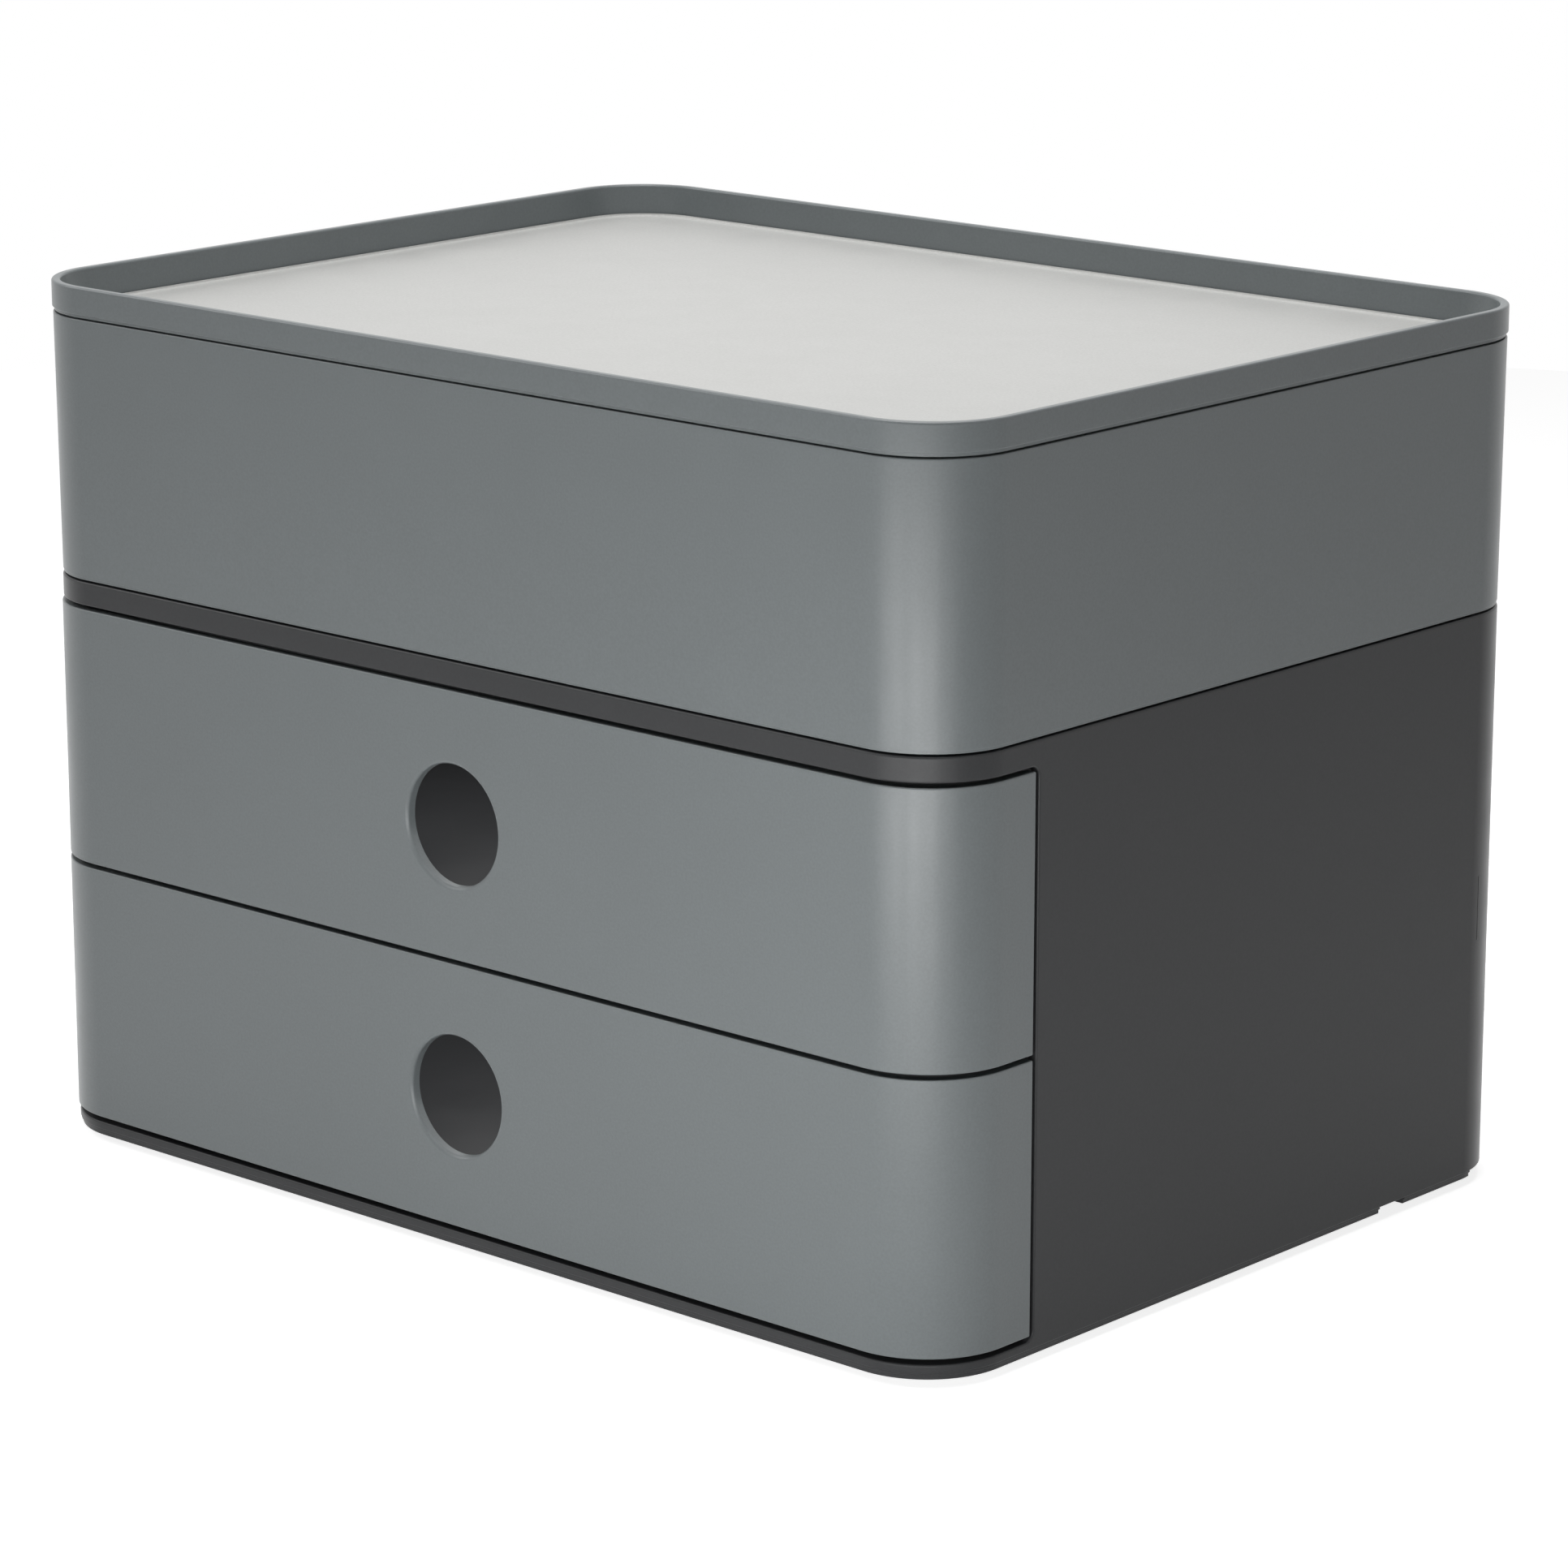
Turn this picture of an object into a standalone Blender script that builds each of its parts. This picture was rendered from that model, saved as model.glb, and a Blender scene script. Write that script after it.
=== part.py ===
"""Desk-top file drawer: a housing with two pull-out drawers, a lift-off box and a tray lid.

Metres, +Z up. The origin is on the table under the middle of the object, the front faces -Y and the width
runs along X. Every plan outline is the lid's outline drawn in by a named inset.
"""

import math

import bmesh
import bpy
from mathutils import Vector

# Plan of the lid, which is the widest piece
LID_WIDTH = 0.2604
LID_DEPTH = 0.1942
LID_CORNER = 0.0194

# How far each outline lies inside the lid's
DRAWER_INSET = 0.0002
BOX_INSET = 0.0002
HOUSING_INSET = 0.0005

# Heights of the stack, from the table up
SOLE_DROP = 0.0016
SKIRT_HEIGHT = 0.0010
UNDERLIP_HEIGHT = 0.0005
LIP_HEIGHT = 0.0017
DRAWER_FOOT_GAP = 0.0012
DRAWER_HEIGHT = 0.0565
DRAWER_GAP = 0.0010
DRAWER_HEAD_GAP = 0.0008
BAND_HEIGHT = 0.00525
NECK_GAP = 0.0004
BOX_LIP_HEIGHT = 0.0006
BOX_FACE_HEIGHT = 0.05605
LID_LIP_HEIGHT = 0.00075
LID_FACE_HEIGHT = 0.00585

# Space kept between pieces that touch on the real object
CLEARANCE = 0.0003
# How far a cutting shape runs past the face that it cuts
OVERRUN = 0.0040

# Housing
HOUSING_WALL = 0.0020
TOP_PLATE = 0.0024
HOUSING_EDGE_ROUND = 0.0005
SKIRT_INSET = 0.0005
UNDERLIP_INSET = 0.00015
SKIRT_WALL = 0.0025
OPENING_CORNER = 0.0020
OPENING_GAP = 0.0014
SKIRT_NOTCH_LENGTH = 0.0088
SKIRT_NOTCH_FROM_BACK = 0.0401
SKIRT_REAR_CUT = 0.0159
SKIRT_REAR_SPAN = 0.0300
REAR_WINDOW_MARGIN = 0.0255
REAR_WINDOW_SILL = 0.0060
PLATEAU_INSET = 0.0120
PLATEAU_HEIGHT = 0.0012

# Back panel
PANEL_THICKNESS = 0.0018
PANEL_WING = 0.0196
PANEL_PAD_SINK = 0.0002
BARB_HEIGHT = 0.0140
BARB_WIDTH = 0.0012
BARB_REACH = 0.0010
BARB_FROM_BACK = 0.0162

# Runner frames
RUNNER_PLATE = 0.0018
RUNNER_SETBACK = 0.0025
LEDGE_THICKNESS = 0.0022
LEDGE_WIDTH = 0.0075
STOP_SETBACK = 0.0010
STOP_LENGTH = 0.0020
STOP_REACH = 0.0015
STOP_HEIGHT = 0.0120

# Drawers
FRONT_THICKNESS = 0.0024
FRONT_EDGE_ROUND = 0.0006
RETURN_DEPTH = 0.0281
HOLE_RADIUS = 0.01285
HOLE_ROUND = 0.00085
TRAY_WALL = 0.0018
TRAY_FLOOR = 0.0018
TRAY_TOP_GAP = 0.0035
TRAY_SIDE_GAP = 0.0020
TRAY_REAR_GAP = 0.0025
TRAY_HOLE_MARGIN = 0.0055
TRAY_EDGE_ROUND = 0.0010
TRAY_FLOOR_ROUND = 0.0020
LUG_LENGTH = 0.0030
LUG_HEIGHT = 0.0060
LUG_LIFT = 0.0020
LUG_REACH = 0.0017

# Box
BOX_WALL = 0.0022
BOX_FLOOR = 0.0020
BOX_TAPER = 0.00035
BOX_LIP_INSET = 0.00015
BOX_EDGE_ROUND = 0.0003
BOX_FLOOR_ROUND = 0.0030
RIM_WALL = 0.0011

# Lid
LID_LIP_INSET = 0.0005
LID_RIM_WIDTH = 0.0019
LID_WALL_DRAFT = 0.0007
LID_EDGE_ROUND = 0.0005
LID_FLOOR = 0.0018
LID_FLOOR_ROUND = 0.0008
LID_RECESS = 0.00725
MAT_THICKNESS = 0.0010
MAT_COVE = 0.0006
MAT_RIM = 0.0002

# Feet
FOOT_RADIUS = 0.0070
FOOT_FROM_SIDE = 0.0250
FOOT_FROM_FRONT = 0.0220
FOOT_TAPER = 0.0006

# How finely round shapes are divided
CORNER_STEPS = 7
ROUND_STEPS = 2
HOLE_STEPS = 32
FOOT_STEPS = 20
SMOOTH_ANGLE = math.radians(35)

# Levels that follow from the stack
SKIRT_TOP = SOLE_DROP + SKIRT_HEIGHT
PLATE_BOTTOM = SKIRT_TOP + UNDERLIP_HEIGHT
LIP_TOP = PLATE_BOTTOM + LIP_HEIGHT
LOWER_DRAWER_BOTTOM = LIP_TOP + DRAWER_FOOT_GAP
DRAWER_PITCH = DRAWER_HEIGHT + DRAWER_GAP
UPPER_DRAWER_BOTTOM = LOWER_DRAWER_BOTTOM + DRAWER_PITCH
OPENING_TOP = UPPER_DRAWER_BOTTOM + DRAWER_HEIGHT + DRAWER_HEAD_GAP
HOUSING_TOP = OPENING_TOP + BAND_HEIGHT
CEILING = HOUSING_TOP - TOP_PLATE
BOX_BOTTOM = HOUSING_TOP + NECK_GAP
BOX_HEIGHT = BOX_LIP_HEIGHT + BOX_FACE_HEIGHT
LID_BOTTOM = BOX_BOTTOM + BOX_HEIGHT + CLEARANCE
LID_HEIGHT = LID_LIP_HEIGHT + LID_FACE_HEIGHT
LEDGE_TOP = LIP_TOP + CLEARANCE + LEDGE_THICKNESS

# Plan lines that follow from the insets
HOUSING_INNER = HOUSING_INSET + HOUSING_WALL
PANEL_OUTER = HOUSING_INNER + CLEARANCE
PANEL_INNER = PANEL_OUTER + PANEL_THICKNESS
RUNNER_OUTER = HOUSING_INNER + CLEARANCE
RUNNER_INNER = RUNNER_OUTER + RUNNER_PLATE
FRONT_PLANE = DRAWER_INSET - LID_DEPTH / 2
FRONT_INNER = FRONT_PLANE + FRONT_THICKNESS
RETURN_END = FRONT_PLANE + RETURN_DEPTH
OPENING_EDGE = RETURN_END + OPENING_GAP
PANEL_WING_END = LID_DEPTH / 2 - HOUSING_INNER - PANEL_WING
RUNNER_FRONT = OPENING_EDGE + RUNNER_SETBACK
RUNNER_REAR = PANEL_WING_END - CLEARANCE

# The tray in a drawer's own frame, whose floor is the underside of the drawer's front
TRAY_HALF_WIDTH = LID_WIDTH / 2 - RUNNER_INNER - TRAY_SIDE_GAP
TRAY_FRONT = FRONT_INNER + CLEARANCE
TRAY_REAR = LID_DEPTH / 2 - PANEL_INNER - TRAY_REAR_GAP
TRAY_CORNER = LID_CORNER - DRAWER_INSET - FRONT_THICKNESS - CLEARANCE
TRAY_LIFT = LEDGE_TOP + CLEARANCE - LOWER_DRAWER_BOTTOM
TRAY_TOP = DRAWER_HEIGHT - TRAY_TOP_GAP
HOLE_LEVEL = DRAWER_HEIGHT / 2

# The lid in its own frame, whose floor is the underside of the lid's lip
MAT_TOP = LID_HEIGHT - LID_RECESS
MAT_BOTTOM = MAT_TOP - MAT_THICKNESS
LID_FLOOR_TOP = MAT_BOTTOM - CLEARANCE
LID_UNDERSIDE = LID_FLOOR_TOP - LID_FLOOR
PLUG_INSET = BOX_INSET + RIM_WALL + CLEARANCE


def material(name, colour, roughness):
    """A moulded surface."""
    made = bpy.data.materials.new(name)
    made.use_nodes = True
    shader = made.node_tree.nodes["Principled BSDF"]
    shader.inputs["Base Color"].default_value = (*colour, 1.0)
    shader.inputs["Roughness"].default_value = roughness
    shader.inputs["Metallic"].default_value = 0.0
    return made


def granite(name):
    """Satin grey plastic of the drawer fronts, the box and the lid."""
    return material(name, (0.185, 0.207, 0.212), 0.38)


def charcoal(name):
    """Dark grey plastic of the housing and what is inside it."""
    return material(name, (0.052, 0.052, 0.054), 0.45)


def pale(name):
    """Pale matt plastic of the mat in the lid."""
    return material(name, (0.56, 0.56, 0.545), 0.6)


def rubber(name):
    """Black rubber of the feet."""
    return material(name, (0.020, 0.020, 0.021), 0.8)


def add_object(name, mesh, finish=None, parent=None):
    made = bpy.data.objects.new(name, mesh)
    bpy.context.scene.collection.objects.link(made)
    made.parent = parent
    if finish:
        mesh.materials.append(finish)
    return made


def add_empty(name, level):
    """A parent on a slide's axis. What rides on it is built up from this level."""
    empty = add_object(name, None)
    empty.location = (0, 0, level)
    return empty


def finished_mesh(name, shape):
    """Turns a closed bmesh into a mesh with its faces pointing out, smooth on its round stretches."""
    bmesh.ops.recalc_face_normals(shape, faces=shape.faces)
    mesh = bpy.data.meshes.new(name)
    shape.to_mesh(mesh)
    shape.free()
    mesh.shade_smooth()
    mesh.set_sharp_from_angle(angle=SMOOTH_ANGLE)
    return mesh


def skin_loops(name, loops):
    """A closed solid: a skin from each loop of points to the next, with a cap at each end."""
    shape = bmesh.new()
    rings = [[shape.verts.new(point) for point in loop] for loop in loops]
    count = len(rings[0])
    for lower, upper in zip(rings, rings[1:]):
        for i in range(count):
            j = (i + 1) % count
            shape.faces.new((lower[i], lower[j], upper[j], upper[i]))
    shape.faces.new(reversed(rings[0]))
    shape.faces.new(rings[-1])
    return finished_mesh(name, shape)


def arc(a, b, radius, start, end, steps=ROUND_STEPS):
    """Points (a, b) of an arc about a centre, between two angles in degrees."""
    points = []
    for step in range(steps + 1):
        angle = math.radians(start + (end - start) * step / steps)
        points.append((a + radius * math.cos(angle), b + radius * math.sin(angle)))
    return points


def rounded_rectangle(half_x, half_y, radius, z, centre_y=0.0):
    """Points round a rectangle with round corners, anticlockwise from the front right corner."""
    points = []
    for side_x, side_y, start in ((1, -1, -90), (1, 1, 0), (-1, 1, 90), (-1, -1, 180)):
        centre = (side_x * (half_x - radius), side_y * (half_y - radius) + centre_y)
        for x, y in arc(*centre, radius, start, start + 90, CORNER_STEPS):
            points.append(Vector((x, y, z)))
    return points


def outline(inset, z):
    """The lid's plan outline, drawn in by inset."""
    return rounded_rectangle(LID_WIDTH / 2 - inset, LID_DEPTH / 2 - inset, LID_CORNER - inset, z)


def outline_solid(name, pairs):
    """A solid whose side follows the plan outline at each (inset, z)."""
    return skin_loops(name, [outline(inset, z) for inset, z in pairs])


def prism(name, polygon, along, low, high):
    """A polygon drawn out along X, from (y, z) points, or along Y, from (x, z) points."""
    loops = []
    for place in (low, high):
        if along == "X":
            loops.append([Vector((place, a, b)) for a, b in polygon])
        else:
            loops.append([Vector((a, place, b)) for a, b in polygon])
    return skin_loops(name, loops)


def block(name, corner, opposite):
    """A box between any two opposite corners."""
    low = [min(pair) for pair in zip(corner, opposite)]
    high = [max(pair) for pair in zip(corner, opposite)]
    face = ((low[1], low[2]), (high[1], low[2]), (high[1], high[2]), (low[1], high[2]))
    return prism(name, face, "X", low[0], high[0])


def turned(name, pairs, centre, steps, along):
    """A solid turned about a line along Y or Z, from (radius, place) pairs."""
    loops = []
    for radius, place in pairs:
        ring = []
        for across, up in arc(0.0, 0.0, radius, 0, 360 - 360 / steps, steps - 1):
            if along == "Y":
                ring.append(Vector((centre[0] + across, place, centre[1] + up)))
            else:
                ring.append(Vector((centre[0] + across, centre[1] + up, place)))
        loops.append(ring)
    return skin_loops(name, loops)


def wrap_solid(name, inset, end_y, way, profile):
    """A wall that wraps round the front (way -1) or the back (way 1). Its section is (depth, z) pairs."""
    half_x = LID_WIDTH / 2 - inset
    half_y = LID_DEPTH / 2 - inset
    radius = LID_CORNER - inset
    path = [(half_x, end_y, 1.0, 0.0)]
    for side, start in ((1, 0), (-1, 90)):
        for normal_x, normal_y in arc(0.0, 0.0, 1.0, start, start + 90, CORNER_STEPS):
            x = side * (half_x - radius) + radius * normal_x
            y = way * (half_y - radius + radius * normal_y)
            path.append((x, y, normal_x, way * normal_y))
    path.append((-half_x, end_y, -1.0, 0.0))
    loops = []
    for x, y, normal_x, normal_y in path:
        loops.append([Vector((x - depth * normal_x, y - depth * normal_y, z)) for depth, z in profile])
    return skin_loops(name, loops)


def combine(target, name, mesh, operation):
    """Joins a helper solid to the target or cuts it away. The helper itself isn't part of the object."""
    helper = add_object(name, mesh, parent=target.parent)
    helper.hide_render = True
    helper.display_type = "WIRE"
    modifier = target.modifiers.new(name, "BOOLEAN")
    modifier.operation = operation
    modifier.solver = "EXACT"
    modifier.object = helper


def cut(target, name, mesh):
    combine(target, name, mesh, "DIFFERENCE")


def join(target, name, mesh):
    combine(target, name, mesh, "UNION")


def housing_blank():
    """The housing before it is hollowed: stepped skirt and lip, plain wall, and the box's plateau."""
    skirt = HOUSING_INSET + SKIRT_INSET
    underlip = HOUSING_INSET + UNDERLIP_INSET
    edge = HOUSING_EDGE_ROUND
    pairs = [(skirt, SOLE_DROP), (skirt, SKIRT_TOP), (underlip, SKIRT_TOP), (underlip, PLATE_BOTTOM)]
    pairs.append((HOUSING_INSET, PLATE_BOTTOM))
    pairs += arc(HOUSING_INSET + edge, HOUSING_TOP - edge, edge, 180, 90)
    pairs += [(PLATEAU_INSET, HOUSING_TOP), (PLATEAU_INSET, HOUSING_TOP + PLATEAU_HEIGHT)]
    return outline_solid("housing_shell", pairs)


def housing_mouth():
    """What is cut away in front of the side walls, with round corners in the side view."""
    front = -LID_DEPTH / 2 - OVERRUN
    centre = OPENING_EDGE - OPENING_CORNER
    profile = [(front, LIP_TOP)]
    profile += arc(centre, LIP_TOP + OPENING_CORNER, OPENING_CORNER, -90, 0)
    profile += arc(centre, OPENING_TOP - OPENING_CORNER, OPENING_CORNER, 0, 90)
    profile.append((front, OPENING_TOP))
    reach = LID_WIDTH / 2 + OVERRUN
    return prism("mouth", profile, "X", -reach, reach)


def rear_window(margin, front, back):
    """The opening in the back of the housing, or with a margin the pad that fills it."""
    half = LID_WIDTH / 2 - REAR_WINDOW_MARGIN - margin
    sill = LIP_TOP + REAR_WINDOW_SILL + margin
    head = CEILING - REAR_WINDOW_SILL - margin
    return block("rear_window", (-half, front, sill), (half, back, head))


def skirt_gap(side, width, front, back):
    """A stretch of one side where the skirt is left out."""
    outer = side * (LID_WIDTH / 2 + OVERRUN)
    inner = side * (LID_WIDTH / 2 - width)
    return block("skirt_gap", (inner, front, -OVERRUN), (outer, back, PLATE_BOTTOM))


def barb(side, spare):
    """A barb of the back panel, or with spare the pocket for it in the side wall."""
    inner = side * (LID_WIDTH / 2 - PANEL_INNER + CLEARANCE - spare)
    outer = side * (LID_WIDTH / 2 - HOUSING_INNER + BARB_REACH - CLEARANCE + spare)
    y = LID_DEPTH / 2 - HOUSING_INSET - BARB_FROM_BACK
    z = LOWER_DRAWER_BOTTOM + DRAWER_HEIGHT + DRAWER_GAP / 2
    reach_y = BARB_WIDTH / 2 + spare
    reach_z = BARB_HEIGHT / 2 + spare
    return block("barb", (inner, y - reach_y, z - reach_z), (outer, y + reach_y, z + reach_z))


def build_housing():
    """Top, sides and base in one moulding, open at the front, with a window at the back."""
    shell = add_object("housing_shell", housing_blank(), charcoal("housing_charcoal"))
    rear = LID_DEPTH / 2 - HOUSING_INSET
    hollow = HOUSING_INSET + SKIRT_INSET + SKIRT_WALL
    cavity = ((HOUSING_INNER, LIP_TOP), (HOUSING_INNER, CEILING))
    under = ((hollow, -OVERRUN), (hollow, PLATE_BOTTOM))
    cut(shell, "cut_cavity", outline_solid("cavity", cavity))
    cut(shell, "cut_mouth", housing_mouth())
    cut(shell, "cut_rear_window", rear_window(0.0, rear - HOUSING_WALL - OVERRUN, rear + OVERRUN))
    cut(shell, "cut_under", outline_solid("under", under))
    notch_back = rear - SKIRT_NOTCH_FROM_BACK
    notch_front = notch_back - SKIRT_NOTCH_LENGTH
    for side, label in ((-1, "left"), (1, "right")):
        notch = skirt_gap(side, hollow + OVERRUN, notch_front, notch_back)
        corner = skirt_gap(side, SKIRT_REAR_SPAN, rear - SKIRT_REAR_CUT, rear + OVERRUN)
        cut(shell, f"cut_skirt_notch_{label}", notch)
        cut(shell, f"cut_skirt_corner_{label}", corner)
        cut(shell, f"cut_barb_pocket_{label}", barb(side, CLEARANCE))


def build_back_panel():
    """A panel with wings along the side walls. It fills the rear window and snaps in with two barbs."""
    low = LIP_TOP + CLEARANCE
    high = CEILING - CLEARANCE
    section = ((0.0, low), (0.0, high), (PANEL_THICKNESS, high), (PANEL_THICKNESS, low))
    wall = wrap_solid("back_panel", PANEL_OUTER, PANEL_WING_END, 1, section)
    panel = add_object("back_panel", wall, charcoal("panel_charcoal"))
    rear = LID_DEPTH / 2
    pad_front = rear - PANEL_OUTER - PANEL_THICKNESS / 2
    pad = rear_window(CLEARANCE, pad_front, rear - HOUSING_INSET - PANEL_PAD_SINK)
    join(panel, "join_pad", pad)
    for side, label in ((-1, "left"), (1, "right")):
        join(panel, f"join_barb_{label}", barb(side, 0.0))


def build_runner_frame(side, label):
    """A plate inside one side wall, with a ledge and a stop for each drawer's tray."""
    outer = side * (LID_WIDTH / 2 - RUNNER_OUTER)
    plate = side * (LID_WIDTH / 2 - RUNNER_INNER)
    inner = side * (LID_WIDTH / 2 - RUNNER_INNER - LEDGE_WIDTH)
    bottom = LEDGE_TOP - LEDGE_THICKNESS
    upper_top = LEDGE_TOP + DRAWER_PITCH
    upper_bottom = upper_top - LEDGE_THICKNESS
    section = [(outer, bottom), (outer, CEILING - CLEARANCE), (plate, CEILING - CLEARANCE)]
    section += [(plate, upper_top), (inner, upper_top), (inner, upper_bottom), (plate, upper_bottom)]
    section += [(plate, LEDGE_TOP), (inner, LEDGE_TOP), (inner, bottom)]
    frame_mesh = prism("runner_frame", section, "Y", RUNNER_FRONT, RUNNER_REAR)
    frame = add_object(f"{label}_runner_frame", frame_mesh, charcoal(f"{label}_runner_charcoal"))
    stop_front = RUNNER_FRONT + STOP_SETBACK
    stop_reach = side * (LID_WIDTH / 2 - RUNNER_INNER - STOP_REACH)
    stop_root = side * (LID_WIDTH / 2 - RUNNER_INNER + RUNNER_PLATE / 2)
    for drawer, ledge in (("lower", LEDGE_TOP), ("upper", upper_top)):
        foot = (stop_root, stop_front, ledge - LEDGE_THICKNESS / 2)
        head = (stop_reach, stop_front + STOP_LENGTH, ledge + STOP_HEIGHT)
        join(frame, f"join_{drawer}_stop_{label}", block("stop", foot, head))


def hole_cutter():
    """The finger hole, with a round edge on the outer face."""
    pairs = [(HOLE_RADIUS + HOLE_ROUND, FRONT_PLANE - OVERRUN)]
    pairs += arc(HOLE_RADIUS + HOLE_ROUND, FRONT_PLANE + HOLE_ROUND, HOLE_ROUND, -90, -180)
    pairs.append((HOLE_RADIUS, FRONT_INNER + OVERRUN))
    return turned("finger_hole", pairs, (0.0, HOLE_LEVEL), HOLE_STEPS, "Y")


def build_drawer_front(label, slide):
    """The front, which wraps round both front corners and ends on the sides."""
    edge = FRONT_EDGE_ROUND
    section = arc(edge, edge, edge, 270, 180)
    section += arc(edge, DRAWER_HEIGHT - edge, edge, 180, 90)
    section += [(FRONT_THICKNESS, DRAWER_HEIGHT), (FRONT_THICKNESS, 0.0)]
    mesh = wrap_solid("drawer_front", DRAWER_INSET, RETURN_END, -1, section)
    front = add_object(f"{label}_drawer_front", mesh, granite(f"{label}_front_granite"), slide)
    cut(front, f"cut_{label}_finger_hole", hole_cutter())


def tray_loop(inset, z):
    """The tray's plan outline, drawn in by inset."""
    half_y = (TRAY_REAR - TRAY_FRONT) / 2
    centre_y = (TRAY_REAR + TRAY_FRONT) / 2
    return rounded_rectangle(TRAY_HALF_WIDTH - inset, half_y - inset, TRAY_CORNER - inset, z, centre_y)


def build_drawer_tray(label, slide):
    """The open tray behind the front, with a wider hole behind the finger hole, and two stop lugs."""
    edge = TRAY_EDGE_ROUND
    floor = TRAY_LIFT + TRAY_FLOOR
    pairs = arc(edge, TRAY_LIFT + edge, edge, 270, 180)
    pairs += [(0.0, TRAY_TOP), (TRAY_WALL, TRAY_TOP)]
    pairs += arc(TRAY_WALL + TRAY_FLOOR_ROUND, floor + TRAY_FLOOR_ROUND, TRAY_FLOOR_ROUND, 180, 270)
    mesh = skin_loops("drawer_tray", [tray_loop(inset, z) for inset, z in pairs])
    tray = add_object(f"{label}_drawer_tray", mesh, charcoal(f"{label}_tray_charcoal"), slide)
    radius = HOLE_RADIUS + TRAY_HOLE_MARGIN
    hole = ((radius, TRAY_FRONT - OVERRUN), (radius, TRAY_FRONT + TRAY_WALL + OVERRUN))
    cut(tray, f"cut_{label}_tray_hole", turned("tray_hole", hole, (0.0, HOLE_LEVEL), HOLE_STEPS, "Y"))
    lug_back = TRAY_REAR - TRAY_CORNER
    lug_bottom = TRAY_LIFT + LUG_LIFT
    for side, end in ((-1, "left"), (1, "right")):
        root = (side * (TRAY_HALF_WIDTH - TRAY_WALL / 2), lug_back - LUG_LENGTH, lug_bottom)
        tip = (side * (TRAY_HALF_WIDTH + LUG_REACH), lug_back, lug_bottom + LUG_HEIGHT)
        join(tray, f"join_{label}_lug_{end}", block("lug", root, tip))


def build_box(lift):
    """The deep box, hollow underneath to fit over the plateau, and rabbeted inside its rim for the lid."""
    underside = PLATEAU_INSET - CLEARANCE
    ceiling = PLATEAU_HEIGHT - NECK_GAP + CLEARANCE
    floor = ceiling + BOX_FLOOR
    face_foot = BOX_INSET + BOX_TAPER
    lip = face_foot + BOX_LIP_INSET
    edge = BOX_EDGE_ROUND
    rabbet = BOX_HEIGHT + LID_UNDERSIDE
    inner = BOX_INSET + BOX_WALL
    pairs = [(underside, ceiling), (underside, 0.0)]
    pairs += arc(lip + edge, edge, edge, 270, 180)
    pairs += [(lip, BOX_LIP_HEIGHT), (face_foot, BOX_LIP_HEIGHT)]
    pairs += arc(BOX_INSET + edge, BOX_HEIGHT - edge, edge, 180, 90)
    pairs += [(BOX_INSET + RIM_WALL, BOX_HEIGHT), (BOX_INSET + RIM_WALL, rabbet), (inner, rabbet)]
    pairs += arc(inner + BOX_FLOOR_ROUND, floor + BOX_FLOOR_ROUND, BOX_FLOOR_ROUND, 180, 270)
    add_object("top_box", outline_solid("top_box", pairs), granite("box_granite"), lift)


def build_lid(lift):
    """The lid: a raised rim round a shallow tray, with a plug that drops inside the box's rim."""
    edge = LID_EDGE_ROUND
    wall_foot = LID_RIM_WIDTH + LID_WALL_DRAFT
    pairs = [(PLUG_INSET, LID_UNDERSIDE), (PLUG_INSET, 0.0), (LID_LIP_INSET, 0.0)]
    pairs += [(LID_LIP_INSET, LID_LIP_HEIGHT), (0.0, LID_LIP_HEIGHT)]
    pairs += arc(edge, LID_HEIGHT - edge, edge, 180, 90)
    pairs += arc(LID_RIM_WIDTH - edge, LID_HEIGHT - edge, edge, 90, 0)
    pairs += arc(wall_foot + LID_FLOOR_ROUND, LID_FLOOR_TOP + LID_FLOOR_ROUND, LID_FLOOR_ROUND, 180, 270)
    add_object("lid_tray", outline_solid("lid_tray", pairs), granite("lid_granite"), lift)


def build_mat(lift):
    """The pale mat in the lid, with a small cove along its edge."""
    foot_round = LID_FLOOR_ROUND - CLEARANCE
    side = LID_RIM_WIDTH + LID_WALL_DRAFT + CLEARANCE
    pairs = arc(side + foot_round, MAT_BOTTOM + foot_round, foot_round, 270, 180)
    pairs.append((side, MAT_TOP + MAT_COVE))
    pairs += arc(side + MAT_RIM + MAT_COVE, MAT_TOP + MAT_COVE, MAT_COVE, 180, 270)
    add_object("lid_mat", outline_solid("lid_mat", pairs), pale("mat_pale"), lift)


def build_feet():
    """Four rubber feet under the base plate, inside the skirt."""
    x = LID_WIDTH / 2 - FOOT_FROM_SIDE
    y = LID_DEPTH / 2 - FOOT_FROM_FRONT
    pairs = ((FOOT_RADIUS - FOOT_TAPER, 0.0), (FOOT_RADIUS, FOOT_TAPER))
    pairs += ((FOOT_RADIUS, PLATE_BOTTOM - CLEARANCE),)
    for end, row in ((-1, "front"), (1, "rear")):
        for side, label in ((-1, "left"), (1, "right")):
            mesh = turned("foot", pairs, (side * x, end * y), FOOT_STEPS, "Z")
            add_object(f"foot_{row}_{label}", mesh, rubber(f"foot_{row}_{label}_rubber"))


def main():
    for leftover in list(bpy.data.objects):
        bpy.data.objects.remove(leftover)
    build_housing()
    build_back_panel()
    for side, label in ((-1, "left"), (1, "right")):
        build_runner_frame(side, label)
    build_feet()
    for label, level in (("lower", LOWER_DRAWER_BOTTOM), ("upper", UPPER_DRAWER_BOTTOM)):
        slide = add_empty(f"{label}_drawer_slide", level)
        build_drawer_front(label, slide)
        build_drawer_tray(label, slide)
    build_box(add_empty("box_lift", BOX_BOTTOM))
    lid_lift = add_empty("lid_lift", LID_BOTTOM)
    build_lid(lid_lift)
    build_mat(lid_lift)


main()
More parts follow.
